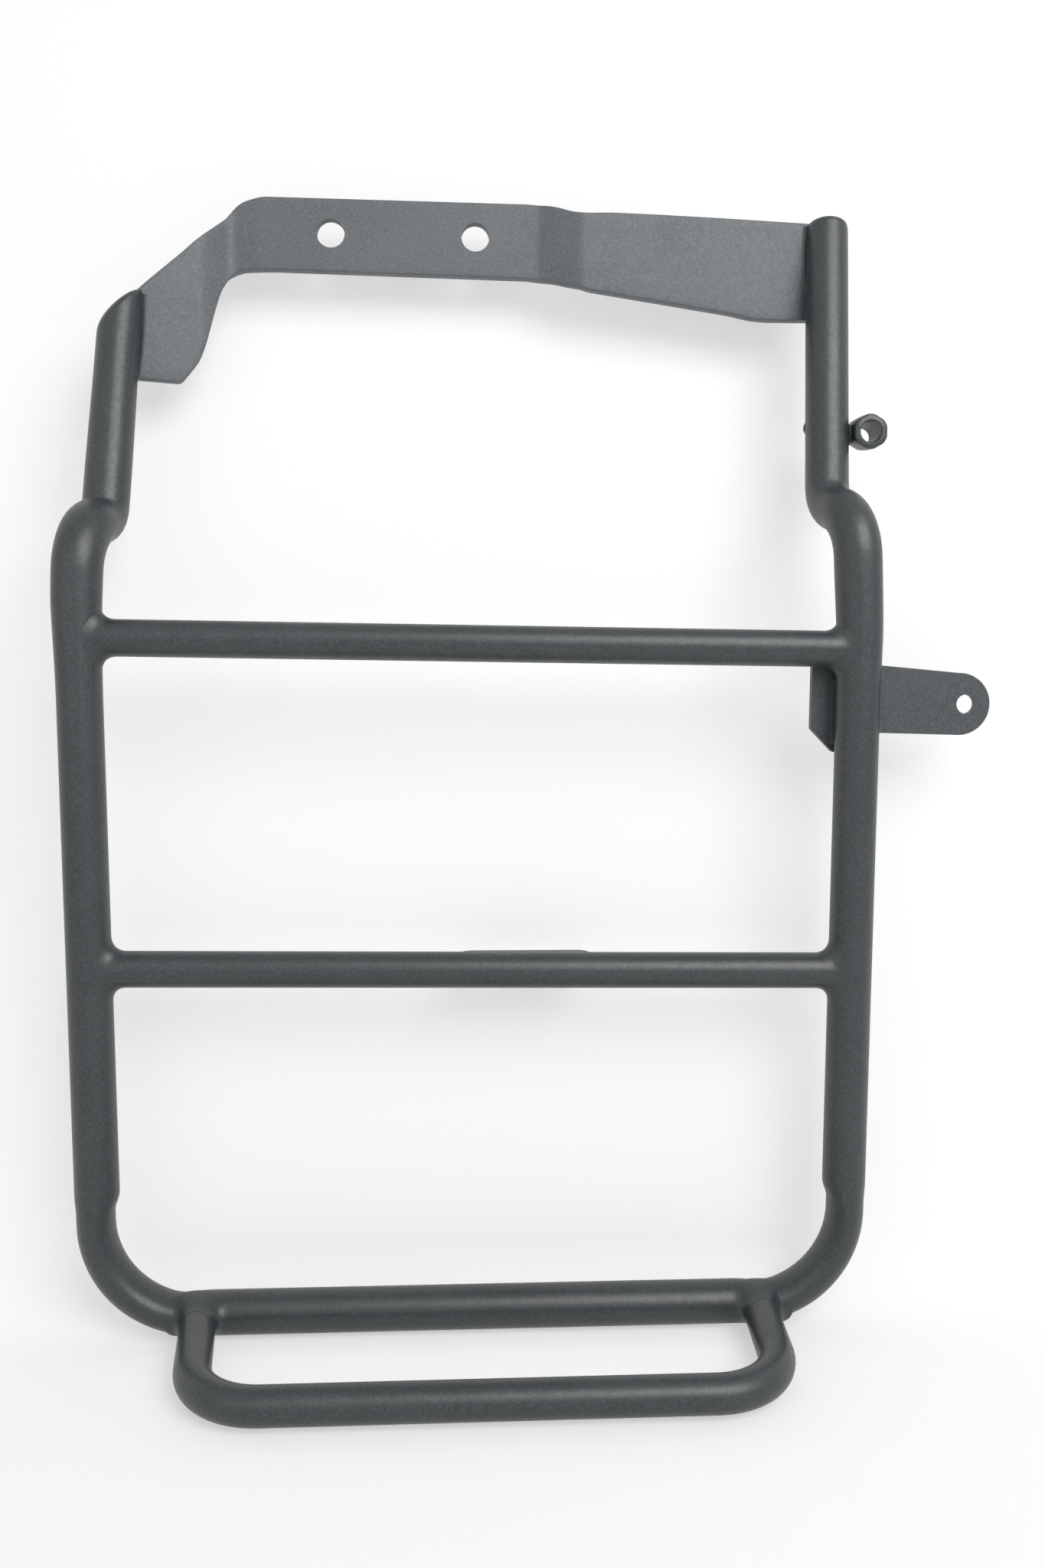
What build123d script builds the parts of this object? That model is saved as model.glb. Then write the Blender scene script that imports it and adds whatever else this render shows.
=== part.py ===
"""Motorbike pannier frame: joggled tube hoop, two crossbars, foot loop, folded strap and small fittings."""
import os
from math import ceil, cos, radians, sin

from build123d import *

os.makedirs("parts", exist_ok=True)

# Sizes in millimetres. X runs along the bike, Y towards the bike and Z up.
# The origin is midway between the two rack bolts, on the strap face that meets the bike.

# Tubes
tube_d = 16.0
tube_wall = 1.5
bar_d = 13.0
bar_wall = 1.2

# Where the middle of the hoop's bottom tube lies, measured from the rack bolts
hoop_x = 28.6
hoop_y = -59.25
hoop_z = -409.6

# Hoop: heights are measured from the bottom tube's centreline
left_low_x = -138.6
left_high_x = -142.35
right_x = 140.5
corner_r = 36.0
left_joggle_h = 279.2
left_joggle_rise = 22.4
left_joggle_low_r = 46.0
left_joggle_high_r = 32.0
right_joggle_h = 287.2
right_joggle_rise = 22.0
right_joggle_low_r = 53.0
right_joggle_high_r = 21.0
upper_h = 350.0
upper_back = 35.2
upper_lean = 0.209
upper_skew = 0.039
upper_left_x = -135.5
upper_right_x = 135.85
right_end_h = 413.6
left_cut_h = 372.9
left_cut_deg = 43.0

# Bends are pressed oval: narrower in the plane of the bend and wider across it, as shares of the tube
bend_flat = 0.85
bend_wide = 1.1
corner_lead = 5.0
corner_ease = 12.0
joggle_lead = 9.0
joggle_start = 2.0
station_step = 4.0

# End caps
cap_t = 2.6
cap_round = 1.6

# Crossbars
upper_bar_h = 249.0
lower_bar_h = 129.1

# Foot loop
loop_left_x = -102.9
loop_right_x = 108.1
loop_reach = 61.0
loop_drop = 0.8
loop_left_in = 8.2
loop_right_in = 4.0
loop_r = 26.0

# Top strap: its outline is measured from the rack bolts, and its two ends from the ends of the hoop
strap_t = 4.5
bolt_gap = 56.6
bolt_hole_d = 11.0
strap_top = 12.7
strap_low = -15.3
wing_low = -24.0
wing_top = -3.9
flare_low = -33.8
flare_top = 2.4
strap_step = 6.0
wing_back = 5.2
strap_bend_r = 7.0
ridge_r = 3.0

# Lower tab: its outline is measured from the right upright at the height of its hole
tab_t = 3.0
tab_h = 228.3
tab_end_r = 11.7
tab_end_x = 41.7
tab_left_x = -15.0
tab_left_top = 16.5
tab_drop = -18.4
tab_corner_r = 2.0
tab_hole_x = 44.2
tab_hole_d = 7.2

# Hexagonal standoff, placed from the right tube at its height
hex_flats = 12.8
hex_bore_d = 8.4
hex_length = 12.0
hex_gap = 0.5
hex_front = 9.3
hex_h = 331.4
hex_corner_r = 3.4
hex_edge = 0.6
hex_back_edge = 2.0

# Plate behind the lower crossbar
plate_left_x = -5.5
plate_length = 49.8
plate_depth = 18.7
plate_t = 3.0
plate_rise = 2.0
plate_corner_r = 4.5

# Welds
weld_leg = 5.0
weld_rod = 2.4
plate_rod = 2.0
clear = 0.05
mark_r = 3.2
mark_rise = 2.6
mark_proud = 0.9

tube_r = tube_d / 2
bar_r = bar_d / 2


def at(x, y, h):
    """Point given from the middle of the bottom tube's centreline."""
    return Vector(hoop_x + x, hoop_y + y, hoop_z + h)


def upper(x, h):
    """Point at height h on the leaning upper tube that passes x at the reference height."""
    rise = h - upper_h
    return at(x + upper_skew * rise, upper_back + upper_lean * rise, h)


def left_upright(h):
    """Point at height h on the left upright, which leans a little outwards."""
    return at(left_low_x + (left_high_x - left_low_x) * h / left_joggle_h, 0, h)


def ease(value):
    """Smooth step from 0 to 1."""
    value = min(max(value, 0), 1)
    return value * value * (3 - 2 * value)


def run_starts(path):
    """Distances along a path at which its straight and bent runs start, and its end."""
    starts = [0.0]
    for edge in path.order_edges():
        starts.append(starts[-1] + edge.length)
    return starts


def tube_solid(path, bends, length, radius):
    """Rods along a path, round on the straights and pressed oval through the bends, one by one and joined."""
    pieces = []
    done = 0.0
    for begin, full, fade, gone, across in bends + [(length, 0, 0, 0, None)]:
        origin = path.position_at(done, PositionMode.LENGTH)
        with BuildPart() as straight:
            with BuildSketch(Plane(origin=origin, z_dir=path.tangent_at(done, PositionMode.LENGTH))):
                Circle(radius)
            extrude(amount=begin - done)
        pieces.append(straight.part)
        done = gone
        if across is None:
            continue
        steps = ceil((gone - begin) / station_step)
        rings = []
        for k in range(steps + 1):
            run = begin + (gone - begin) * k / steps
            press = ease((run - begin) / (full - begin)) * ease((gone - run) / (gone - fade))
            point = path.position_at(run, PositionMode.LENGTH)
            tangent = path.tangent_at(run, PositionMode.LENGTH)
            side = across - tangent * across.dot(tangent)
            with BuildSketch(Plane(origin=point, x_dir=side, z_dir=tangent)) as ring:
                Ellipse(radius * (1 + press * (bend_wide - 1)), radius * (1 + press * (bend_flat - 1)))
            rings.append(ring.sketch)
        with BuildPart() as bent:
            loft(sections=rings)
        pieces.append(bent.part)
    with BuildPart() as solid:
        add(pieces, clean=False)
    return solid, pieces


upper_dir = (upper(0, upper_h + 1) - upper(0, upper_h)).normalized()
left_top = upper(upper_left_x, left_cut_h + 3 * tube_d)
right_top = upper(upper_right_x, right_end_h)
left_cut_dir = Vector(-sin(radians(left_cut_deg)), 0, cos(radians(left_cut_deg)))
left_cut = Plane(origin=upper(upper_left_x, left_cut_h), z_dir=left_cut_dir)

# Centreline of the hoop, from the left top end down, across and up to the right top end
with BuildLine() as hoop_line:
    FilletPolyline(
        left_top,
        upper(upper_left_x, left_joggle_h + left_joggle_rise),
        left_upright(left_joggle_h),
        left_upright(0),
        at(right_x, 0, 0),
        at(right_x, 0, right_joggle_h),
        upper(upper_right_x, right_joggle_h + right_joggle_rise),
        right_top,
        radius=[
            left_joggle_high_r,
            left_joggle_low_r,
            corner_r,
            corner_r,
            right_joggle_low_r,
            right_joggle_high_r,
        ],
    )
hoop_path = hoop_line.wire()
hoop_run = run_starts(hoop_path)

# Bends of the hoop: where the oval begins and is full, where it begins to fade and has gone,
# and the direction across the bend
hoop_bends = [
    (hoop_run[1] - joggle_lead, hoop_run[1], hoop_run[3], hoop_run[4] + joggle_start, Vector(1, 0, 0)),
    (
        hoop_run[5] - corner_lead,
        hoop_run[5],
        hoop_run[6] - corner_ease,
        hoop_run[6] + corner_lead,
        Vector(0, 1, 0),
    ),
    (
        hoop_run[7] - corner_lead,
        hoop_run[7] + corner_ease,
        hoop_run[8],
        hoop_run[8] + corner_lead,
        Vector(0, 1, 0),
    ),
    (hoop_run[9] - joggle_start, hoop_run[10], hoop_run[12], hoop_run[12] + joggle_lead, Vector(1, 0, 0)),
]
hoop_core, hoop_rods = tube_solid(hoop_path, hoop_bends, hoop_run[-1], tube_r)
hoop_bore, bore_rods = tube_solid(hoop_path, hoop_bends, hoop_run[-1], tube_r - tube_wall)
left_upper_rod, left_bend, left_rod, left_corner, bottom_rod = hoop_rods[:5]
right_corner, right_rod, right_bend, right_upper_rod = hoop_rods[5:]

with BuildPart() as main_hoop:
    add(hoop_core.part)
    add(hoop_bore.part, mode=Mode.SUBTRACT)
    split(bisect_by=left_cut, keep=Keep.BOTTOM)

main_hoop.part.label = "main_hoop"
export_step(main_hoop.part, "parts/main_hoop.step")

# Caps that close the two top ends
with BuildPart() as left_end_cap:
    with BuildSketch(Plane(origin=upper(upper_left_x, left_cut_h - tube_d), z_dir=upper_dir)):
        Circle(tube_r)
    extrude(amount=3 * tube_d)
    split(bisect_by=left_cut, keep=Keep.TOP)
    split(bisect_by=left_cut.offset(cap_t), keep=Keep.BOTTOM)
    fillet(left_end_cap.faces().sort_by(Axis((0, 0, 0), left_cut_dir))[-1].edges(), cap_round)
left_end_cap.part.label = "left_end_cap"
export_step(left_end_cap.part, "parts/left_end_cap.step")

with BuildPart() as right_end_cap:
    with BuildSketch(Plane(origin=right_top, z_dir=upper_dir)):
        Circle(tube_r)
    extrude(amount=cap_t)
    fillet(right_end_cap.faces().sort_by(Axis((0, 0, 0), upper_dir))[-1].edges(), cap_round)
right_end_cap.part.label = "right_end_cap"
export_step(right_end_cap.part, "parts/right_end_cap.step")

# Crossbars, notched round the uprights at both ends
with BuildPart() as upper_crossbar:
    with BuildSketch(Plane(origin=left_upright(upper_bar_h), z_dir=(1, 0, 0))):
        Circle(bar_r)
        Circle(bar_r - bar_wall, mode=Mode.SUBTRACT)
    extrude(amount=hoop_x + right_x - left_upright(upper_bar_h).X)
    add([left_rod, right_rod], mode=Mode.SUBTRACT)
upper_crossbar.part.label = "upper_crossbar"
export_step(upper_crossbar.part, "parts/upper_crossbar.step")

with BuildPart() as lower_crossbar:
    with BuildSketch(Plane(origin=left_upright(lower_bar_h), z_dir=(1, 0, 0))):
        Circle(bar_r)
        Circle(bar_r - bar_wall, mode=Mode.SUBTRACT)
    extrude(amount=hoop_x + right_x - left_upright(lower_bar_h).X)
    add([left_rod, right_rod], mode=Mode.SUBTRACT)
lower_crossbar.part.label = "lower_crossbar"
export_step(lower_crossbar.part, "parts/lower_crossbar.step")

# Foot loop, bent from one bar and notched on to the front of the bottom tube
loop_left_end = at(loop_left_x + loop_left_in, -loop_reach, -loop_drop)
loop_right_end = at(loop_right_x - loop_right_in, -loop_reach, -loop_drop)
loop_left_dir = loop_left_end - at(loop_left_x, 0, 0)
loop_right_dir = loop_right_end - at(loop_right_x, 0, 0)
with BuildLine() as loop_line:
    FilletPolyline(
        at(loop_left_x, 0, 0),
        loop_left_end,
        loop_right_end,
        at(loop_right_x, 0, 0),
        radius=loop_r,
    )
with BuildPart() as foot_loop:
    with BuildSketch(Plane(origin=at(loop_left_x, 0, 0), z_dir=loop_left_dir)):
        Circle(bar_r)
        Circle(bar_r - bar_wall, mode=Mode.SUBTRACT)
    sweep(path=loop_line.wire())
    add([left_corner, bottom_rod, right_corner], mode=Mode.SUBTRACT)
foot_loop.part.label = "foot_loop"
export_step(foot_loop.part, "parts/foot_loop.step")

# Top strap: a folded flat bar with a wing at the left and a flare at the right
strap_mid = -strap_t / 2
strap_near = strap_mid - strap_step
wing_end = hoop_z + left_cut_h
flare_end = hoop_z + right_end_h
wing_x = hoop_x + upper_left_x
wing_y = hoop_y + upper_back + wing_back
flare_x = hoop_x + upper_right_x
with BuildSketch(Plane.XY.offset(wing_end + wing_low)) as strap_plan:
    with BuildLine() as strap_fold:
        FilletPolyline(
            (wing_x, wing_y),
            (wing_x + 29.9, wing_y + 9.2),
            (-60.8, strap_mid),
            (54.0, strap_mid),
            (70.0, strap_near),
            (flare_x + 2.0, strap_near),
            radius=[strap_bend_r, strap_bend_r, strap_bend_r, ridge_r],
        )
    trace(line_width=strap_t)
with BuildPart() as rack_strap:
    add(strap_plan.sketch)
    extrude(amount=strap_top - wing_end - wing_low)
    with BuildSketch(Plane.XZ):
        with BuildLine():
            FilletPolyline(
                (wing_x - tube_r, wing_end + wing_low),
                (-84.5, wing_end + wing_low),
                (-78.4, -50.0),
                (-72.3, -28.0),
                (-64.8, strap_low),
                (55.0, strap_low),
                (69.0, -21.0),
                (98.0, -23.6),
                (138.6, flare_end + flare_low),
                (flare_x + tube_d, flare_end + flare_low),
                (flare_x + tube_d, flare_end + flare_top),
                (71.0, 9.0),
                (54.0, strap_top),
                (-61.5, strap_top),
                (-77.6, -7.0),
                (wing_x - tube_r, wing_end + wing_top),
                radius=[0, 5, 40, 20, 8, 12, 12, 24, 20, 0, 0, 20, 20, 7, 30, 0],
                close=True,
            )
        make_face()
    extrude(amount=tube_d * 3, both=True, mode=Mode.INTERSECT)
    with BuildSketch(Plane.XZ):
        with Locations((-bolt_gap / 2, 0), (bolt_gap / 2, 0)):
            Circle(bolt_hole_d / 2)
    extrude(amount=strap_t * 2, both=True, mode=Mode.SUBTRACT)
    with BuildSketch(Plane(origin=right_top, z_dir=upper_dir)):
        Circle(tube_r)
    extrude(amount=tube_d, mode=Mode.SUBTRACT)
    add([left_upper_rod, right_upper_rod], mode=Mode.SUBTRACT)
rack_strap.part.label = "rack_strap"
export_step(rack_strap.part, "parts/rack_strap.step")

# Lower tab: a flat plate on the back of the right upright
with BuildPart() as lower_tab:
    with BuildSketch(Plane(origin=at(right_x, tube_r + tab_t, tab_h), x_dir=(1, 0, 0), z_dir=(0, -1, 0))):
        with BuildLine():
            RadiusArc((tab_end_x, -tab_end_r), (tab_end_x, tab_end_r), -tab_end_r)
            FilletPolyline(
                (tab_end_x, tab_end_r),
                (tab_left_x, tab_left_top),
                (tab_left_x, -9.7),
                (-6.5, tab_drop),
                (1.0, tab_drop),
                (8.1, -11.0),
                (tab_end_x, -tab_end_r),
                radius=tab_corner_r,
            )
        make_face()
        with Locations((tab_hole_x, 0)):
            Circle(tab_hole_d / 2, mode=Mode.SUBTRACT)
    extrude(amount=tab_t)
lower_tab.part.label = "lower_tab"
export_step(lower_tab.part, "parts/lower_tab.step")



def tube_section(h):
    """Box round the right tube's section at height h."""
    cut = section(hoop_core.part, section_by=Plane.XY.offset(hoop_z + h))
    return cut.faces().sort_by(Axis.X)[-1].bounding_box()


# Hexagonal standoff beside the right upper tube
hex_seat = tube_section(hex_h)
hex_left = hex_seat.max.X + hex_gap
hex_face = Vector(hex_left + hex_flats / 2, hex_seat.center().Y - hex_front, hoop_z + hex_h)
with BuildPart() as standoff:
    with BuildSketch(Plane(origin=hex_face, x_dir=(1, 0, 0), z_dir=(0, 1, 0))):
        RegularPolygon(hex_flats / 2, 6, major_radius=False, rotation=30)
    extrude(amount=hex_length)
    fillet(standoff.edges().filter_by(Axis.Y), hex_corner_r)
    chamfer(standoff.faces().sort_by(Axis.Y)[0].edges(), hex_edge)
    chamfer(standoff.faces().sort_by(Axis.Y)[-1].edges(), hex_back_edge)
    with BuildSketch(Plane(origin=hex_face, x_dir=(1, 0, 0), z_dir=(0, 1, 0))):
        Circle(hex_bore_d / 2)
    extrude(amount=hex_length, mode=Mode.SUBTRACT)
standoff.part.label = "standoff"
export_step(standoff.part, "parts/standoff.step")

# Plate on the back of the lower crossbar
with BuildPart() as crossbar_plate:
    with BuildSketch(Plane(origin=at(0, 0, lower_bar_h + plate_rise))):
        with BuildLine():
            FilletPolyline(
                (plate_left_x, 0),
                (plate_left_x, bar_r + plate_depth),
                (plate_left_x + plate_length, bar_r + plate_depth),
                (plate_left_x + plate_length, 0),
                radius=[0, plate_corner_r, plate_corner_r, 0],
                close=True,
            )
        make_face()
    extrude(amount=-plate_t)
    with BuildSketch(Plane(origin=at(plate_left_x, 0, lower_bar_h), z_dir=(1, 0, 0))):
        Circle(bar_r)
    extrude(amount=plate_length, mode=Mode.SUBTRACT)
crossbar_plate.part.label = "crossbar_plate"
export_step(crossbar_plate.part, "parts/crossbar_plate.step")


def bar_weld(label, joint, post_dir, bar_dir, parts):
    """Ring of weld, hollow-faced like a fillet, where a bar meets the side of the hoop's tube."""
    post = Plane(origin=joint, z_dir=post_dir)
    bar = Plane(origin=joint, z_dir=bar_dir)
    with BuildPart() as bead:
        with BuildSketch(post):
            Circle(tube_r)
        extrude(amount=tube_d, both=True)
        with BuildSketch(bar):
            Circle(bar_r)
        extrude(amount=tube_d + weld_leg)
        fillet(bead.edges().filter_by(GeomType.BSPLINE), weld_leg)
        with BuildSketch(post):
            Circle(tube_r + clear)
        extrude(amount=2 * tube_d, both=True, mode=Mode.SUBTRACT)
        with BuildSketch(bar):
            Circle(bar_r + clear)
        extrude(amount=2 * tube_d, both=True, mode=Mode.SUBTRACT)
        add(parts, mode=Mode.SUBTRACT)
    bead.part.label = label
    export_step(bead.part, "parts/" + label + ".step")
    return bead


left_dir = left_upright(1) - left_upright(0)
left_upper_joint = left_upright(upper_bar_h)
left_lower_joint = left_upright(lower_bar_h)
right_upper_joint = at(right_x, 0, upper_bar_h)
right_lower_joint = at(right_x, 0, lower_bar_h)
left_loop_joint = at(loop_left_x, 0, 0)
right_loop_joint = at(loop_right_x, 0, 0)
upper_weld_left = bar_weld("upper_weld_left", left_upper_joint, left_dir, (1, 0, 0), left_rod)
upper_weld_right = bar_weld("upper_weld_right", right_upper_joint, (0, 0, 1), (-1, 0, 0), right_rod)
lower_weld_left = bar_weld("lower_weld_left", left_lower_joint, left_dir, (1, 0, 0), left_rod)
lower_weld_right = bar_weld("lower_weld_right", right_lower_joint, (0, 0, 1), (-1, 0, 0), right_rod)
loop_weld_left = bar_weld("loop_weld_left", left_loop_joint, (1, 0, 0), loop_left_dir, left_corner)
loop_weld_right = bar_weld("loop_weld_right", right_loop_joint, (1, 0, 0), loop_right_dir, right_corner)


def seam_weld(label, first, last, size, parts):
    """Bead of weld along a seam: a round-ended rod with the pieces it joins cut away."""
    run = last - first
    with BuildPart() as bead:
        with BuildSketch(Plane(origin=first, z_dir=run)):
            Circle(size)
        extrude(amount=run.length)
        with Locations(first, last):
            Sphere(size)
        for piece in parts:
            add(piece, mode=Mode.SUBTRACT)
    bead.part.label = label
    export_step(bead.part, "parts/" + label + ".step")
    return bead


def seam_point(x, h, deg):
    """Point on the surface of the upper tube through x at height h, deg round from its front."""
    return upper(x, h) + Vector(sin(radians(deg)), -cos(radians(deg)), 0) * tube_r


# Beads that hold the strap's ends to the upper tubes, front and back
wing_low_h = left_cut_h + wing_low
flare_low_h = right_end_h + flare_low
strap_weld_left = seam_weld(
    "strap_weld_left",
    seam_point(upper_left_x, wing_low_h + 1.3 * weld_rod, 123),
    seam_point(upper_left_x, left_cut_h + tube_r, 86),
    weld_rod,
    [left_upper_rod, rack_strap.part],
)
strap_back_left = seam_weld(
    "strap_back_left",
    seam_point(upper_left_x, wing_low_h + 1.7 * weld_rod, 163),
    seam_point(upper_left_x, left_cut_h + 0.5 * weld_rod, 128),
    weld_rod,
    [left_upper_rod, rack_strap.part],
)
strap_weld_right = seam_weld(
    "strap_weld_right",
    seam_point(upper_right_x, flare_low_h + 1.3 * weld_rod, -144),
    seam_point(upper_right_x, right_end_h - 1.5 * weld_rod, -91),
    weld_rod,
    [right_upper_rod, rack_strap.part],
)
strap_back_right = seam_weld(
    "strap_back_right",
    seam_point(upper_right_x, right_end_h - 5 * weld_rod, -158),
    seam_point(upper_right_x, right_end_h - 1.5 * weld_rod, -133),
    weld_rod,
    [right_upper_rod, rack_strap.part],
)

# Beads along the plate behind the lower crossbar
plate_weld_top = seam_weld(
    "plate_weld_top",
    at(plate_left_x + 3, bar_r + 0.5, lower_bar_h + plate_rise + 0.9),
    at(plate_left_x + plate_length - 3, bar_r + 0.5, lower_bar_h + plate_rise + 0.9),
    plate_rod,
    [lower_crossbar.part, crossbar_plate.part],
)
plate_weld_low = seam_weld(
    "plate_weld_low",
    at(plate_left_x + 3, bar_r + 0.7, lower_bar_h + plate_rise - plate_t - 0.9),
    at(plate_left_x + plate_length - 3, bar_r + 0.7, lower_bar_h + plate_rise - plate_t - 0.9),
    plate_rod,
    [lower_crossbar.part, crossbar_plate.part],
)


def tab_weld(label, side, low, high):
    """Weld that fills the corner between the right upright and the tab, on one side of the upright."""
    with BuildPart() as bead:
        with BuildSketch(Plane(origin=at(right_x, tube_r, tab_h + low))):
            with BuildLine():
                Polyline((side * 6.7, -3.6), (side * 1.5, -1.0), (side * 1.5, 0), (side * 7.8, 0))
                ThreePointArc((side * 7.8, 0), (side * 6.9, -1.6), (side * 6.7, -3.6))
            make_face()
        extrude(amount=high - low)
        add(right_rod, mode=Mode.SUBTRACT)
    bead.part.label = label
    export_step(bead.part, "parts/" + label + ".step")
    return bead


tab_weld_inner = tab_weld("tab_weld_inner", -1, tab_drop + 3, 8.5)
tab_weld_outer = tab_weld("tab_weld_outer", 1, -9.5, 11.0)

# Weld between the standoff and the upper tube, and the mark it leaves on the tube's other side
with BuildPart() as standoff_weld:
    with BuildSketch(Plane(origin=hex_face - Vector(hex_flats / 2, 0, 0))):
        with BuildLine():
            Polyline((0.6, 2.0), (-5.2, 3.4), (-6.5, 9.0), (-2.2, 14.6), (0.6, 11.4))
            Line((0.6, 11.4), (0.6, 2.0))
        make_face()
    extrude(amount=hex_flats / 3, both=True)
    add([right_bend, right_upper_rod], mode=Mode.SUBTRACT)
    add(standoff.part, mode=Mode.SUBTRACT)
standoff_weld.part.label = "standoff_weld"
export_step(standoff_weld.part, "parts/standoff_weld.step")

mark_seat = tube_section(hex_h + mark_rise)
with BuildPart() as weld_mark:
    with Locations((mark_seat.min.X - mark_proud + mark_r, mark_seat.center().Y, hoop_z + hex_h + mark_rise)):
        Sphere(mark_r)
    add([right_bend, right_upper_rod], mode=Mode.SUBTRACT)
weld_mark.part.label = "weld_mark"
export_step(weld_mark.part, "parts/weld_mark.step")
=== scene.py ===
"""Motorbike pannier frame: finish, backdrop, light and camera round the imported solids."""
from math import cos, radians, sin

import bmesh
import bpy
import numpy as np
from mathutils import Matrix


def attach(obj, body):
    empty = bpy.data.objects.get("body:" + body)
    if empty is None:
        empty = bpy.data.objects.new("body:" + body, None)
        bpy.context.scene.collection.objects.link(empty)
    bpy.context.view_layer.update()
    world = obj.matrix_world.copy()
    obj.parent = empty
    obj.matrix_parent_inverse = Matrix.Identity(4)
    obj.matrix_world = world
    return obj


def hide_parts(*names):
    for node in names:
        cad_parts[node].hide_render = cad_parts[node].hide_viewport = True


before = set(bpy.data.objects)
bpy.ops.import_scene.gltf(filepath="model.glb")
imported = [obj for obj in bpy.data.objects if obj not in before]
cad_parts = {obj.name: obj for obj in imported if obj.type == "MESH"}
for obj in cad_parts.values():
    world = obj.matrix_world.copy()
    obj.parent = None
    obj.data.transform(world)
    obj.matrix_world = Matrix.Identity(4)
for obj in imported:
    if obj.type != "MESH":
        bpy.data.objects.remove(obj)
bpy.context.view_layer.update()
scene = bpy.context.scene
scene.view_settings.view_transform = "Standard"


# Hoop: one length of 16 mm steel tube, bent cold to a U, with a joggle in each upright that sets its
# top back. The bends press the tube oval, most inside the lower corners, and caps close both top ends.
# The powder coat is a satin black with a fine grain whose specks carry a painted glint, an uneven tone and
# baked-in nibs.
def add(tree, kind, inputs=None, **settings):
    """Adds a node to a tree, with settings on the node and values on its inputs."""
    made = tree.nodes.new(kind)
    for name, value in settings.items():
        setattr(made, name, value)
    for name, value in (inputs or {}).items():
        made.inputs[name].default_value = value
    return made


def noise(tree, place, scale, detail, low, high):
    """Noise texture in object space, stretched so that low to high runs from 0 to 1."""
    texture = add(tree, "ShaderNodeTexNoise", {"Scale": scale, "Detail": detail, "Roughness": 0.55})
    spread = add(tree, "ShaderNodeMapRange", {"From Min": low, "From Max": high})
    tree.links.new(place.outputs["Object"], texture.inputs["Vector"])
    tree.links.new(texture.outputs["Fac"], spread.inputs["Value"])
    return spread.outputs["Result"]


def mix(tree, factor, first, second):
    """Mixes two colours by a factor socket, where each colour is a socket or three numbers."""
    made = add(tree, "ShaderNodeMix", data_type="RGBA")
    tree.links.new(factor, made.inputs["Factor"])
    for name, colour in (("A", first), ("B", second)):
        if isinstance(colour, tuple):
            made.inputs[name].default_value = (*colour, 1)
        else:
            tree.links.new(colour, made.inputs[name])
    return made.outputs["Result"]


def bump(tree, height, distance, strength, normal):
    """Bump from a height socket, distance in metres, on top of a normal socket."""
    made = add(tree, "ShaderNodeBump", {"Strength": strength, "Distance": distance})
    tree.links.new(height, made.inputs["Height"])
    tree.links.new(normal, made.inputs["Normal"])
    return made.outputs["Normal"]


def powder_coat(name, dark, light, painted_glint, rough, edge=0):
    """Powder coat: two drifting tones, a grain whose specks are a painted glint, sparse nibs, and gloss
    that varies.
    An edge in metres rounds the corners under it, as the coat does when it flows."""
    material = bpy.data.materials.new(name)
    material.use_nodes = True
    tree = material.node_tree
    coat = tree.nodes["Principled BSDF"]
    coat.inputs["IOR"].default_value = 1.6
    coat.inputs["Metallic"].default_value = 0.0
    place = add(tree, "ShaderNodeTexCoord")
    drift = noise(tree, place, scale=45, detail=3, low=0.35, high=0.65)
    grain_and_painted_glint = noise(tree, place, scale=1300, detail=2, low=0.45, high=0.75)
    peel = noise(tree, place, scale=700, detail=2, low=0.2, high=0.8)
    waves = noise(tree, place, scale=160, detail=1, low=0.2, high=0.8)
    cells = add(tree, "ShaderNodeTexVoronoi", {"Scale": 42, "Randomness": 1.0})
    nibs = add(tree, "ShaderNodeMapRange", {"From Min": 0.024, "From Max": 0.008})
    tree.links.new(place.outputs["Object"], cells.inputs["Vector"])
    tree.links.new(cells.outputs["Distance"], nibs.inputs["Value"])
    tone = mix(tree, drift, dark, light)
    # Specks of the coat's real grain take a lighter colour: a painted glint.
    tone = mix(tree, grain_and_painted_glint, tone, painted_glint)
    tree.links.new(tone, coat.inputs["Base Color"])
    gloss = add(tree, "ShaderNodeMapRange", {"To Min": rough - 0.05, "To Max": rough + 0.07})
    tree.links.new(peel, gloss.inputs["Value"])
    tree.links.new(gloss.outputs["Result"], coat.inputs["Roughness"])
    if edge:
        normal = add(tree, "ShaderNodeBevel", {"Radius": edge}, samples=4).outputs["Normal"]
    else:
        normal = add(tree, "ShaderNodeNewGeometry").outputs["Normal"]
    normal = bump(tree, waves, distance=0.0002, strength=0.25, normal=normal)
    normal = bump(tree, peel, distance=0.00006, strength=0.5, normal=normal)
    normal = bump(tree, nibs.outputs["Result"], distance=0.0003, strength=0.8, normal=normal)
    tree.links.new(normal, coat.inputs["Normal"])
    return material


def unit(vectors):
    """Vectors scaled to length 1."""
    vectors = np.asarray(vectors, float)
    return vectors / np.linalg.norm(vectors, axis=-1, keepdims=True)


def bent_path(points, radii, step):
    """Straight runs between points, joined at each inner point by an arc that touches both runs.
    Gives points about a step apart, their lengths along the path, and each arc's start and end."""
    points = np.asarray(points, float)
    line = [points[:1]]
    marks = []
    for before, corner, after, radius in zip(points, points[1:], points[2:], radii):
        ahead, onward = unit(corner - before), unit(after - corner)
        turn = np.arccos(ahead @ onward)
        inward = unit(onward - ahead * (ahead @ onward))
        angle = np.linspace(0, turn, 60)[:, None]
        arc = radius * (np.sin(angle) * ahead + (1 - np.cos(angle)) * inward)
        line.append(corner - ahead * radius * np.tan(turn / 2) + arc)
        marks.append((sum(map(len, line[:-1])), sum(map(len, line)) - 1))
    line = np.vstack([*line, points[-1:]])
    length = np.concatenate([[0], np.cumsum(np.linalg.norm(np.diff(line, axis=0), axis=1))])
    read = np.linspace(0, length[-1], int(length[-1] / step))
    path = np.stack([np.interp(read, length, axis) for axis in line.T], axis=1)
    return path, read, [(length[first], length[last]) for first, last in marks]


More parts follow.
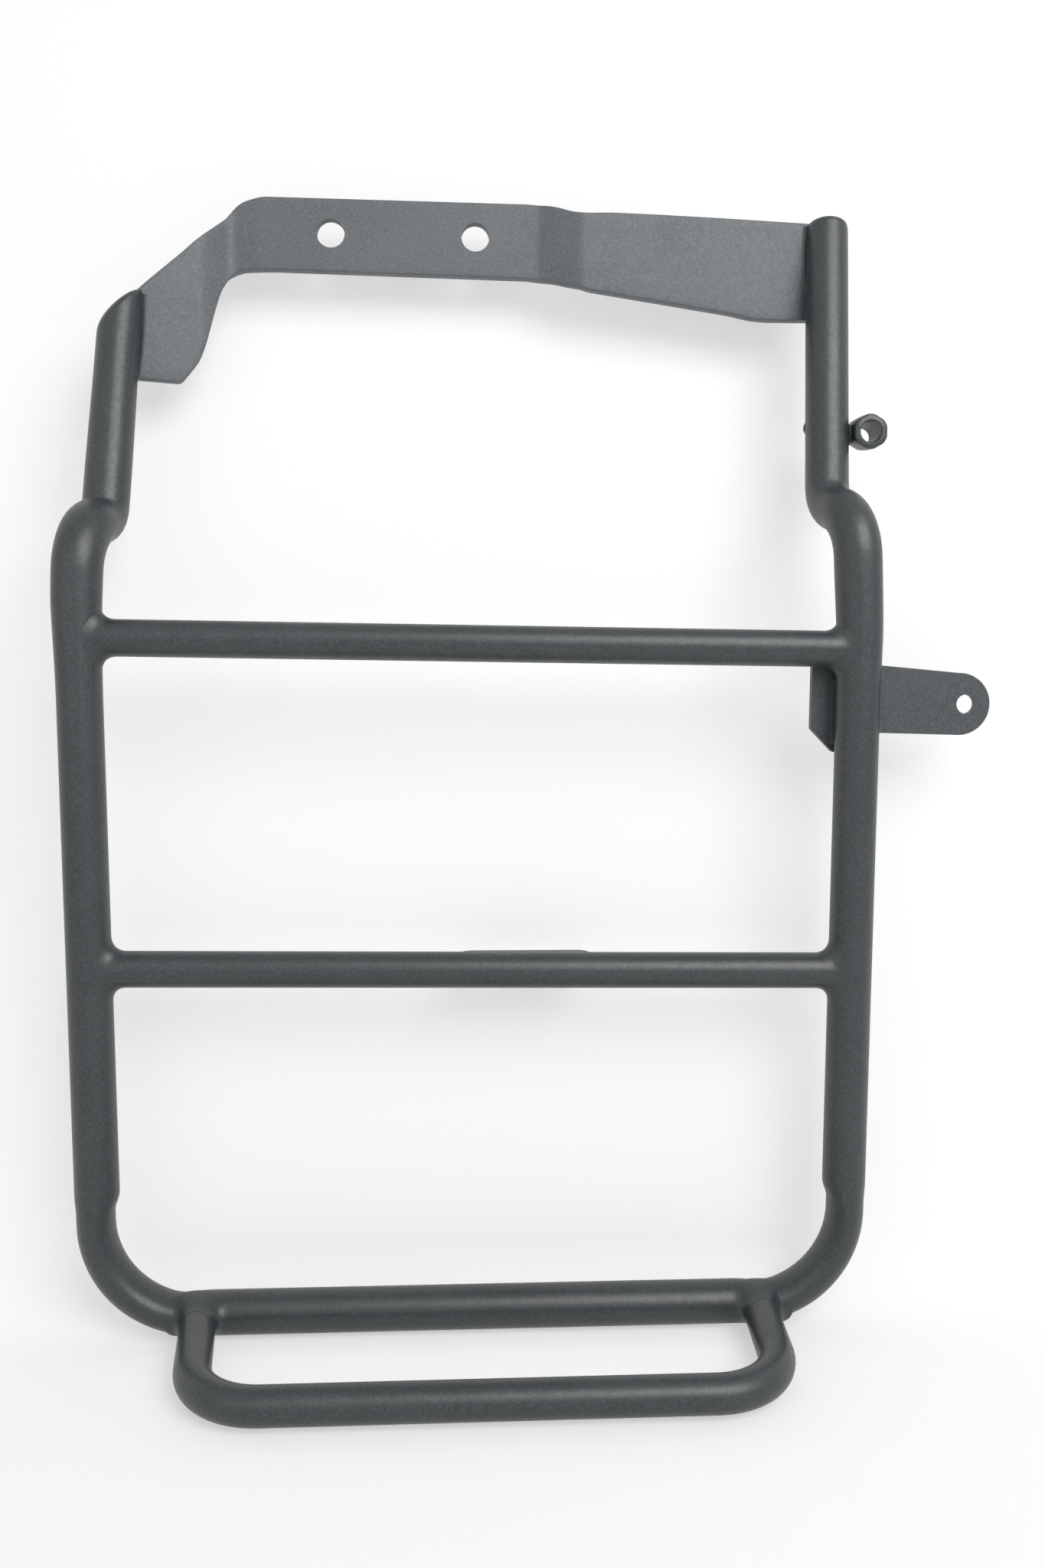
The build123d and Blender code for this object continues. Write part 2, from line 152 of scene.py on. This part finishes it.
def swell(read, begin, full, fade, gone):
    """Smooth rise from 0 at begin to 1 at full, and back from 1 at fade to 0 at gone."""
    rise = np.clip((read - begin) / (full - begin), 0, 1)
    fall = np.clip((gone - read) / (gone - fade), 0, 1)
    return rise * rise * (3 - 2 * rise) * fall * fall * (3 - 2 * fall)


def closed_mesh(name, rings):
    """Skin of quads over rings of points in millimetres, each ring closed on itself and joined to the next.
    Points that meet are merged, open ends are filled and faces turn outwards."""
    count, around = rings.shape[:2]
    index = np.arange(count * around).reshape(count, around)
    beside = np.roll(index, -1, axis=1)
    quads = np.stack([index[:-1], beside[:-1], beside[1:], index[1:]], axis=-1).reshape(-1, 4)
    mesh = bpy.data.meshes.new(name)
    mesh.from_pydata((rings.reshape(-1, 3) * 0.001).tolist(), [], quads.tolist())
    shell = bmesh.new()
    shell.from_mesh(mesh)
    bmesh.ops.remove_doubles(shell, verts=shell.verts, dist=1e-7)
    bmesh.ops.holes_fill(shell, edges=shell.edges)
    bmesh.ops.recalc_face_normals(shell, faces=shell.faces)
    shell.to_mesh(mesh)
    shell.free()
    return mesh


def solid(name, rings, material, slot, *nodes):
    """Piece with a closed skin over rings and a coat, that stands in place of CAD nodes. Its slot is not
    used.
    """
    mesh = closed_mesh(name, rings)
    mesh.shade_smooth()
    mesh.set_sharp_from_angle(angle=crease)
    mesh.materials.append(material)
    piece = bpy.data.objects.new(name, mesh)
    scene.collection.objects.link(piece)
    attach(piece, "root")
    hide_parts(*nodes)
    return piece


def tube_end(centre, axis, face, radial, reach, edge, crown):
    """Rings that close a tube: a rounded edge, then a low crown to one point. Each ring is a smaller
    copy of the tube's circle, moved along the axis onto a plane that looks along face."""
    bend = np.radians(np.linspace(0, 90, 8))
    share = np.linspace(1, 0, 7)[1:]
    size = np.concatenate([tube_r - edge + edge * np.cos(bend), (tube_r - edge) * share])
    level = np.concatenate([reach - edge + edge * np.sin(bend), reach + crown * (1 - share**2)])
    flat = size[:, None, None] * radial
    lift = (level[:, None] - flat @ face) / (face @ axis)
    return centre + flat + lift[..., None] * axis


tube_r = 8.0
crease = radians(40)
middle = np.array([28.6, -59.25, -409.6])  # on the hoop's foot: tubes and welds are measured from it
round_tube = np.linspace(0, 2 * np.pi, 49)[:-1]
ring_cos, ring_sin = np.cos(round_tube), np.sin(round_tube)
lean_step = np.array([0.039, 0.209, 1.0])  # how far the upper tubes lean for each millimetre of height
lean = unit(lean_step)
left_end = np.array([-135.5, 35.2, 350.0]) + 22.9 * lean_step
right_end = np.array([135.85, 35.2, 350.0]) + 63.6 * lean_step
left_foot, left_knee = np.array([-138.6, 0, 0]), np.array([-142.0, 0, 262.0])
right_foot, right_knee = np.array([140.5, 0, 0]), np.array([140.5, 0, 255.0])
path, read, bends = bent_path(
    [
        left_end - 12 * lean,  # under the slanted cap
        (-137.2, 21.8, 294.1),  # left joggle, upper bend
        (-140.8, 0, 288.9),  # left joggle, lower bend
        left_knee,
        left_foot,
        right_foot,
        right_knee,
        (138.2, 0, 296.2),  # right joggle, lower bend
        (133.7, 22.8, 303.6),  # right joggle, upper bend
        right_end - lean,  # under the square cap
    ],
    radii=[9.3, 20, 120, 36, 36, 200, 20, 14],
    step=2.0,
)
left_high, left_low, _, left_corner, right_corner, _, right_low, right_high = bends
bulges = [  # share of the radius, then the lengths at which it begins, is full, fades and is gone
    (0.05, left_high[0] - 60, left_high[0] - 8, left_high[1], left_low[1]),
    (0.11, left_high[0], left_low[0] + 10, left_low[1], left_low[1] + 45),
    (0.09, right_low[0] - 60, right_low[0], right_low[1] - 10, right_high[1]),
    (0.025, right_low[0], right_high[1], read[-1] + 10, read[-1] + 20),
]
joggle = sum(share * swell(read, *lengths) for share, *lengths in bulges)
# The lower corners press the tube, with a step just outside each arc's upper end.
corner = swell(read, left_corner[0] - 11, left_corner[0] - 4, left_corner[1] - 12, left_corner[1] + 5)
corner += swell(read, right_corner[0] - 5, right_corner[0] + 12, right_corner[1] + 4, right_corner[1] + 11)

# Each ring is an oval square to the path: a point is path + across * out + deep * rear, where out points
# away from the U's middle and rear to the back, and across has one radius outside the U and one inside.
along = unit(np.gradient(path, axis=0))
out = unit(np.stack([along[:, 2], np.zeros(len(path)), -along[:, 0]], axis=1))
rear = np.cross(along, out)
outer = tube_r * (1 + joggle - 0.06 * corner)
inner = tube_r * (1 + joggle - 0.24 * corner)
depth = tube_r * (1 + 0.2 * joggle + 0.08 * corner)
across = np.where(ring_cos > 0, outer[:, None], inner[:, None]) * ring_cos
deep = depth[:, None] * ring_sin
skin = path[:, None] + across[..., None] * out[:, None] + deep[..., None] * rear[:, None]
first = ring_cos[:, None] * out[0] + ring_sin[:, None] * rear[0]
last = ring_cos[:, None] * out[-1] + ring_sin[:, None] * rear[-1]
slant_angle = radians(43)
slant = np.array([-sin(slant_angle), 0, cos(slant_angle)])
left_cap = tube_end(left_end, lean, slant, first, reach=2.6, edge=3.0, crown=0.8)
right_cap = tube_end(right_end, lean, lean, last, reach=2.6, edge=2.2, crown=0.4)
tube_coat = powder_coat(
    "tube_coat",
    dark=(0.015, 0.0195, 0.0215),
    light=(0.022, 0.027, 0.0295),
    painted_glint=(0.046, 0.055, 0.059),
    rough=0.39,
)
hoop_rings = middle + np.vstack([left_cap[::-1], skin, right_cap])
solid("hoop", hoop_rings, tube_coat, "powder_coat", "main_hoop", "left_end_cap", "right_end_cap")


# Crossbars and foot loop: 13 mm steel tube, the bars cut to fit round the uprights and the loop bent
# from one length. They are welded to the hoop and coated with it.
def paint(material, *names):
    """Gives CAD nodes a material."""
    for name in names:
        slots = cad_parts[name].data.materials
        slots.clear()
        slots.append(material)


# A bar is one circle, square to X, carried along the straight line between its two joints.
bar_r = 6.65
bar_circle = bar_r * np.stack([np.zeros_like(round_tube), -ring_sin, ring_cos], axis=1)
left_post = (left_knee - left_foot) / left_knee[2]
right_post = (right_knee - right_foot) / right_knee[2]
bars = {}
for name, left_h, right_h in (("upper", 250.1, 248.3), ("lower", 130.5, 128.25)):
    left_joint = left_foot + left_h * left_post
    right_joint = right_foot + right_h * right_post
    bar_rings = middle + np.linspace(left_joint, right_joint, 90)[:, None] + bar_circle
    solid(name + "_bar", bar_rings, tube_coat, "powder_coat", name + "_crossbar")
    bars[name] = left_joint, right_joint
paint(tube_coat, "foot_loop")


# Welds between tubes: beads of steel laid round each joint, dressed to a hollow fillet and buried
# under the coat. The coat pools a little there, so its grain is softer.
def hollow(leave, away, land, home, leg, count):
    """Hollow section of a weld: a cubic curve in count points, which starts at leave, drawn against
    away, and ends at land, drawn along home, with both pulls a share of the leg."""
    pull = 0.62 * leg
    t = np.linspace(0, 1, count)[:, None, None]
    return (
        (1 - t) ** 3 * leave
        + 3 * (1 - t) ** 2 * t * (leave - pull * away)
        + 3 * (1 - t) * t * t * (land + pull * home)
        + t**3 * land
    )


def fillet(joint, post, bar, legs):
    """Band round a bar where it leaves a post. At each angle the line along the bar's side is met with
    the post's round side, a hollow curve joins the two sides there, and the band closes in the metal.
    Legs are its reach along the post, and round the post on the bar's one side and on its other."""
    overlap, sink, bury = 0.6, 0.1, 1.2
    post, bar = unit(post), unit(bar)
    level = unit(post - bar * (post @ bar))
    front = np.cross(level, bar)
    angle = np.linspace(0, 2 * np.pi, 73)[:-1, None]
    c, s = np.cos(angle), np.sin(angle)
    bar_out = c * level + s * front
    rim = bar_r * bar_out
    reach = legs[0] * c * c + np.where(s < 0, legs[1], legs[2]) * s * s
    flat_bar = bar - post * (post @ bar)
    flat_rim = rim - (rim @ post)[:, None] * post
    half = (flat_rim @ flat_bar)[:, None] / (flat_bar @ flat_bar)
    rest = ((flat_rim * flat_rim).sum(1)[:, None] - tube_r**2) / (flat_bar @ flat_bar)
    meet = np.sqrt(half * half - rest) - half
    hit = rim + meet * bar
    facing = unit(flat_bar)
    turn = np.arctan2(hit @ front, hit @ facing)[:, None] + s * reach / tube_r
    post_out = np.cos(turn) * facing + np.sin(turn) * front
    land = tube_r * post_out + ((hit @ post)[:, None] + c * reach) * post
    home = -c * post - s * (np.cos(turn) * front - np.sin(turn) * facing)
    leave = rim + (meet + reach) * bar
    curve = hollow(leave, bar, land, home, reach, 14)
    sunk_bar = leave + overlap * bar - sink * bar_out
    sunk_post = land - overlap * home - sink * post_out
    core = 0.8 * rim + (meet - 2) * bar
    inside = np.stack([sunk_post, sunk_post - bury * post_out, core, sunk_bar - bury * bar_out, sunk_bar])
    return middle + joint + np.concatenate([sunk_bar[None], curve, inside])


weld_coat = powder_coat(
    "weld_coat",
    dark=(0.015, 0.0195, 0.0215),
    light=(0.021, 0.026, 0.0285),
    painted_glint=(0.040, 0.048, 0.052),
    rough=0.40,
)
bar_legs = (5.6, 3.2, 3.2)
loop_legs = (5.0, 6.5, 3.0)
for name, (left_joint, right_joint) in bars.items():
    run = right_joint - left_joint
    left_rings = fillet(left_joint, left_post, run, bar_legs)
    solid(name + "_fillet_left", left_rings, weld_coat, "weld_coat", name + "_weld_left")
    right_rings = fillet(right_joint, right_post, -run, bar_legs)
    solid(name + "_fillet_right", right_rings, weld_coat, "weld_coat", name + "_weld_right")
for end, start_x, loop_run in (("left", -102.9, (8.2, -61, -0.8)), ("right", 108.1, (-4.0, -61, -0.8))):
    loop_rings = fillet(np.array([start_x, 0, 0]), (1, 0, 0), loop_run, loop_legs)
    solid("loop_fillet_" + end, loop_rings, weld_coat, "weld_coat", "loop_weld_" + end)


# Strap: a steel bar 4.5 mm thick, cut to its outline, drilled for the two rack bolts and folded on a press.
# It steps back from the left wing to the bolt face and forward again to the right flare, in soft bends.
def edge_height(points, x, width):
    """Height of a cut edge at each x: straight between its points, then a running mean over width."""
    grid, margin = 0.5, 40
    stations, heights = np.transpose(points)
    fine = np.arange(stations[0] - margin, stations[-1] + margin, grid)
    count = int(width / grid)
    level = np.pad(np.interp(fine, stations, heights), count // 2, mode="edge")
    smooth = np.convolve(level, np.ones(count) / count, mode="valid")[: len(fine)]
    return np.interp(x, fine, smooth)


strap_t = 4.5
strap_edge = 0.7
top_edge = [  # x and height
    (-112, -39.2), (-97.3, -23.9), (-90, -16.8), (-84.2, -11.2), (-78.4, -5.0), (-74.3, -0.6),
    (-69.5, 4.4), (-67.1, 7.6), (-62.4, 11.1), (-55, 13.2), (49, 13.2), (56.3, 12.7), (61, 11.6),
    (66, 9.6), (70.3, 8.6), (76, 8.8), (82, 9.0), (100, 8.7), (127, 8.0), (170, 6.6),
]
low_edge = [
    (-112, -60.5), (-85.2, -60.5), (-78.9, -52.0), (-77.3, -46.0), (-75.5, -37.8), (-73.6, -29.8),
    (-71.8, -23.3), (-69.6, -19.6), (-67.4, -17.2), (-65.1, -15.6), (-62, -14.8), (-50, -14.4),
    (49, -15.4), (54, -16.0), (59, -17.0), (64, -18.5), (73, -20.8), (100, -24.5), (128, -28.4),
    (137.5, -30.3), (144, -30.7), (170, -30.4),
]
plan = bent_path(
    [  # middle of the strap's thickness, seen from above
        (-108.9, -19.47, 0),
        (-78.0, -9.9, 0),
        (-67.5, -1.3, 0),
        (-56.0, -2.25, 0),
        (54.0, -2.25, 0),
        (70.0, -8.25, 0),
        (166.4, -8.25, 0),
    ],
    radii=[10, 9, 30, 9, 3.5],
    step=1.0,
)[0]

# Each ring is a slice square to the plan: over the rounded top edge, down the back, round the bottom edge
# and up the front. A point stands out from the plan, at the height low + (top - low) * share + lift.
top = edge_height(top_edge, plan[:, 0], width=4)[:, None]
low = edge_height(low_edge, plan[:, 0], width=2)[:, None]
plan_along = unit(np.gradient(plan, axis=0))
plan_front = np.stack([plan_along[:, 1], -plan_along[:, 0], np.zeros(len(plan))], axis=1)
rounding = np.radians(np.linspace(0, 90, 5))
flat = strap_t / 2 - strap_edge
edge_out = np.concatenate([flat + strap_edge * np.cos(rounding), -flat - strap_edge * np.sin(rounding)])
edge_lift = strap_edge * np.concatenate([np.sin(rounding), np.cos(rounding)]) - strap_edge
tall = np.linspace(0, 1, 12)[1:-1]
face_out, none = np.full(10, strap_t / 2), np.zeros(10)
slice_out = np.concatenate([edge_out, -face_out, -edge_out, face_out])
slice_share = np.concatenate([none + 1, 1 - tall, none, tall])
slice_lift = np.concatenate([edge_lift, none, -edge_lift, none])
strap_rings = plan[:, None] + slice_out[:, None] * plan_front[:, None]
strap_rings[..., 2] = low + (top - low) * slice_share + slice_lift
# The strap's coat is the frame's powder coat painted lighter than on the tubes: painted light for the
# stronger light its flat faces catch. Its duller gloss is its own.
painted_light_plate_coat = powder_coat(
    "painted_light_plate_coat",
    dark=(0.076, 0.085, 0.091),
    light=(0.092, 0.102, 0.109),
    painted_glint=(0.138, 0.151, 0.159),
    rough=0.52,
)
strap = solid("strap", strap_rings, painted_light_plate_coat, "powder_coat", "rack_strap")
bolt_r = 5.5
bolt_circle = bolt_r * np.stack([ring_cos, np.zeros_like(round_tube), ring_sin], axis=1)
for bolt_x in (-28.3, 28.3):
    drill_line = np.array([(bolt_x, -14.0, 0), (bolt_x, 10.0, 0)])
    drill = bpy.data.objects.new("drill", closed_mesh("drill", drill_line[:, None] + bolt_circle))
    scene.collection.objects.link(drill)
    cut = strap.modifiers.new("hole", "BOOLEAN")
    cut.operation = "DIFFERENCE"
    cut.solver = "EXACT"
    cut.object = drill
    drilled = bpy.data.meshes.new_from_object(strap.evaluated_get(bpy.context.evaluated_depsgraph_get()))
    strap.modifiers.remove(cut)
    strap.data = drilled
    bpy.data.objects.remove(drill)
strap.data.set_sharp_from_angle(angle=crease)


# Tab and crossbar plate: flat steel cut by laser, welded to the right upright and to the lower crossbar.
# They carry the same coat, which rounds their cut edges.
edge_coat = powder_coat(
    "edge_coat",
    dark=(0.030, 0.036, 0.039),
    light=(0.040, 0.047, 0.051),
    painted_glint=(0.072, 0.083, 0.088),
    rough=0.46,
    edge=0.0005,
)
paint(edge_coat, "lower_tab", "crossbar_plate")


# Standoff: a drilled end of hexagonal steel bar, both ends chamfered, held to the right tube by one bead.
# The weld's heat leaves a mark on the tube's other side. The coat is the frame's, flowed round its edges.
standoff_at = np.array([178.6, -37.25, -78.2])
bead_at = np.array([172.2, -28.6, -78.2])
flat_r = 6.35
hex_profile = [  # depth, share of the hexagon and radius of the bore, from its mouth round and back
    (0.3, 0, 4.15), (0, 0, 4.45), (0, 0.72, 0), (0.12, 0.9, 0), (0.5, 0.98, 0), (1.0, 1.0, 0),
    (4.0, 1.0, 0), (8.0, 0.99, 0), (11.0, 0.97, 0), (13.0, 0.93, 0), (14.0, 0.88, 0), (14.4, 0.8, 0),
    (14.4, 0, 3.9), (14.1, 0, 3.6), (7.0, 0, 4.15), (0.3, 0, 4.15),
]

# Each ring is at one depth: a hexagon whose corners a wavy circle rounds off, or a circle in the bore.
# The outside rises by a tenth of its depth, and the bore runs level.
sixth = (round_tube + np.pi / 6) % (np.pi / 3) - np.pi / 6
hexagon = np.minimum(flat_r / np.cos(sixth), flat_r + 0.25 + 0.45 * np.cos(3 * sixth) ** 2)
hex_depth, hex_share, bore = np.array(hex_profile).T[..., None]
hex_size = hex_share * hexagon + bore
hex_rise = np.where(hex_share > 0, 0.1 * hex_depth, 0)
hex_y = np.broadcast_to(hex_depth, hex_size.shape)
hex_rings = np.stack([hex_size * ring_cos, hex_y, hex_size * ring_sin + hex_rise], axis=2)
solid("standoff_body", standoff_at + hex_rings, tube_coat, "powder_coat", "standoff")

# The bead is an egg shape: circles from pole to pole of a ball, stretched to three half widths.
polar = np.radians(np.linspace(0, 180, 17))[:, None]
ball_x, ball_y = np.sin(polar) * ring_cos, np.sin(polar) * ring_sin
ball = np.stack([ball_x, ball_y, np.broadcast_to(np.cos(polar), ball_x.shape)], axis=2)
bead_rings = bead_at + ball * (1.9, 4.0, 4.2)
solid("standoff_bead", bead_rings, weld_coat, "weld_coat", "standoff_weld")
paint(weld_coat, "weld_mark")


# Seams: slender beads of steel along the strap's ends, and shorter ones on its back, the tab and the plate.
# They are dressed flat on the strap's front, where the coat leaves only a thin hollow line.
def seam(low_axis, high_axis, face, run, hand, heights, leg):
    """Bead in the corner between an upright and the strap's face: at each height a hollow curve leaves
    the face along its run and lands on the tube, closed in the metal. Hand, 1 or -1, is its side."""
    girth = 8.1  # radius of the upper tubes
    z = np.linspace(*heights, 24)
    share = ((z - low_axis[2]) / (high_axis[2] - low_axis[2]))[:, None]
    axis = (low_axis + (high_axis - low_axis) * share)[:, :2]
    normal = np.array([run[1], -run[0]])
    gap = ((axis - face) @ normal)[:, None]
    hit = face + (((axis - face) @ run)[:, None] + hand * np.sqrt(girth**2 - gap**2)) * run
    radial = unit(hit - axis)
    tangent = unit(normal - radial * (radial @ normal)[:, None])
    swing = leg / girth
    land = axis + girth * (cos(swing) * radial + sin(swing) * tangent)
    home = sin(swing) * radial - cos(swing) * tangent
    away = hand * run
    leave = hit + leg * away
    curve = hollow(leave, away, land, home, leg, 9)
    sunk_tube = land - 0.5 * home - 0.3 * radial
    sunk_face = leave + 0.5 * away - 0.3 * normal
    inside = np.stack([sunk_tube, hit - normal - radial, sunk_face])
    ring = np.concatenate([curve, inside]).transpose(1, 0, 2)
    return np.concatenate([ring, np.broadcast_to(z[:, None, None], (*ring.shape[:2], 1))], axis=2)


left_top, right_top = middle + left_end, middle + right_end
left_below, right_below = left_top - 60 * lean, right_top - 60 * lean
wing_run = unit(plan[1] - plan[0])[:2]
wing_face = plan[0, :2] + strap_t / 2 * np.array([wing_run[1], -wing_run[0]])
left_rings = seam(left_below, left_top, wing_face, wing_run, 1, heights=(-59.8, -29.0), leg=1.5)
solid("left_seam", left_rings, weld_coat, "weld_coat", "strap_weld_left")
flare_run = np.array([1.0, 0])
flare_face = plan[-1, :2] - np.array([0, strap_t / 2])
right_rings = seam(right_below, right_top, flare_face, flare_run, -1, heights=(-30.0, 5.6), leg=1.5)
solid("right_seam", right_rings, weld_coat, "weld_coat", "strap_weld_right")
paint(weld_coat, "strap_back_left", "strap_back_right", "plate_weld_top", "plate_weld_low")
paint(weld_coat, "tab_weld_inner", "tab_weld_outer")


# Backdrop: a white paper sweep that lies under the frame and rises close behind it, leaning back higher up.
# It is seen white, and keeps the soft shadows that the frame throws on it.
def seen_rays(tree):
    """1 for rays from the camera, off gloss or through glass, 0 for those that light other surfaces."""
    ray = add(tree, "ShaderNodeLightPath")
    direct = add(tree, "ShaderNodeMath", operation="MAXIMUM")
    tree.links.new(ray.outputs["Is Camera Ray"], direct.inputs[0])
    tree.links.new(ray.outputs["Is Glossy Ray"], direct.inputs[1])
    either = add(tree, "ShaderNodeMath", operation="MAXIMUM")
    tree.links.new(direct.outputs[0], either.inputs[0])
    tree.links.new(ray.outputs["Is Transmission Ray"], either.inputs[1])
    return either.outputs[0]


# The profile, in metres, is a level floor, an arc, and a wall that leans by its height and by its square.
# It is carried along X, and its back is clear, so that the frame can be seen from behind.
floor_z, floor_reach = -0.4182, 3.0
bend_y, bend_r = -0.062, 0.026
bend = np.radians(np.linspace(0, 84, 25))
rise = np.linspace(0, 1, 40)[1:]
floor = np.stack([np.linspace(-floor_reach, bend_y - 0.001, 30), np.full(30, floor_z)], axis=1)
arc = np.stack([bend_y + bend_r * np.sin(bend), floor_z + bend_r * (1 - np.cos(bend))], axis=1)
wall = arc[-1] + np.stack([0.11 * rise + 1.1 * rise * rise, 2.2 * rise], axis=1)
profile = np.vstack([floor, arc, wall])
width = np.linspace(-floor_reach, floor_reach, 25)
points = np.column_stack([np.tile(width, len(profile)), np.repeat(profile, len(width), axis=0)])
index = np.arange(len(points)).reshape(-1, len(width))
quads = np.stack([index[:-1, :-1], index[:-1, 1:], index[1:, 1:], index[1:, :-1]], axis=-1).reshape(-1, 4)
sheet = bpy.data.meshes.new("sweep")
sheet.from_pydata(points.tolist(), [], quads.tolist())
sheet.shade_smooth()
sweep = bpy.data.objects.new("sweep", sheet)
scene.collection.objects.link(sweep)
paper = bpy.data.materials.new("paper")
paper.use_nodes = True
tree = paper.node_tree
tree.nodes.remove(tree.nodes["Principled BSDF"])
sides = add(tree, "ShaderNodeNewGeometry")
matt = add(tree, "ShaderNodeBsdfDiffuse", {"Color": (0.98, 0.98, 0.98, 1)})
glow = add(tree, "ShaderNodeEmission", {"Color": (1, 1, 1, 1), "Strength": 1.0})
glow_share = add(tree, "ShaderNodeMath", {1: 0.5}, operation="MULTIPLY")
tree.links.new(seen_rays(tree), glow_share.inputs[0])
white = add(tree, "ShaderNodeMixShader")
tree.links.new(glow_share.outputs[0], white.inputs["Fac"])
tree.links.new(matt.outputs[0], white.inputs[1])
tree.links.new(glow.outputs[0], white.inputs[2])
clear = add(tree, "ShaderNodeBsdfTransparent")
one_sided = add(tree, "ShaderNodeMixShader")
tree.links.new(sides.outputs["Backfacing"], one_sided.inputs["Fac"])
tree.links.new(white.outputs[0], one_sided.inputs[1])
tree.links.new(clear.outputs[0], one_sided.inputs[2])
tree.links.new(one_sided.outputs[0], tree.nodes["Material Output"].inputs["Surface"])
sheet.materials.append(paper)


# Light: a large soft box in front, above and to the right, a weaker one to the left, and even white light.
# The world is seen white, also in the coat's gloss.
def stand(place, right, up, back):
    """Matrix of a lamp or camera at place, in metres, from where its right, top and back point."""
    return Matrix.Translation(place) @ Matrix(np.stack([right, up, back], axis=1).tolist()).to_4x4()


def lamp(name, place, target, size, power):
    """Oblong area lamp at place, turned to target, both in metres, with its width and height as size."""
    data = bpy.data.lights.new(name, "AREA")
    data.shape = "RECTANGLE"
    data.size, data.size_y = size
    data.energy = power
    made = bpy.data.objects.new(name, data)
    scene.collection.objects.link(made)
    back = unit(np.subtract(place, target))
    right = unit(np.cross((0, 0, 1), back))
    made.matrix_world = stand(place, right, np.cross(back, right), back)


lamp("key", (0.50, -0.88, 0.50), target=(0.02, -0.03, -0.14), size=(0.85, 0.75), power=9.6)
lamp("fill", (-0.42, -0.66, 0.05), target=(0.03, -0.03, -0.14), size=(0.6, 0.6), power=0.5)
world = bpy.data.worlds.new("studio")
world.use_nodes = True
scene.world = world
tree = world.node_tree
sky = tree.nodes["Background"]
sky.inputs["Color"].default_value = (1, 1, 1, 1)
strength = add(tree, "ShaderNodeMapRange", {"To Min": 0.38, "To Max": 0.85})
tree.links.new(seen_rays(tree), strength.inputs["Value"])
tree.links.new(strength.outputs["Result"], sky.inputs["Strength"])


# Camera: close in front of the frame, a little left of its middle and tipped slightly down.
# Yaw turns it to the side, pitch down and roll about its own line of sight, from a level look along +Y.
camera_at = (0.01721, -0.51856, -0.17202)
yaw, pitch, roll = (radians(angle) for angle in (3.488, 4.883, 0.434))
level_look = np.array([[1, 0, 0], [0, 0, -1], [0, 1, 0]])
yawed = np.array([[cos(yaw), 0, -sin(yaw)], [0, 1, 0], [sin(yaw), 0, cos(yaw)]])
tipped = np.array([[1, 0, 0], [0, cos(pitch), -sin(pitch)], [0, sin(pitch), cos(pitch)]])
rolled = np.array([[cos(roll), -sin(roll), 0], [sin(roll), cos(roll), 0], [0, 0, 1]])
right, down, ahead = rolled @ tipped @ yawed @ level_look
camera = bpy.data.objects.new("camera", bpy.data.cameras.new("camera"))
scene.collection.objects.link(camera)
camera.matrix_world = stand(camera_at, right, -down, -ahead)
camera.data.sensor_width = 36
camera.data.lens = 29.004
camera.data.clip_start = 0.01
camera.data.dof.use_dof = False
scene.camera = camera
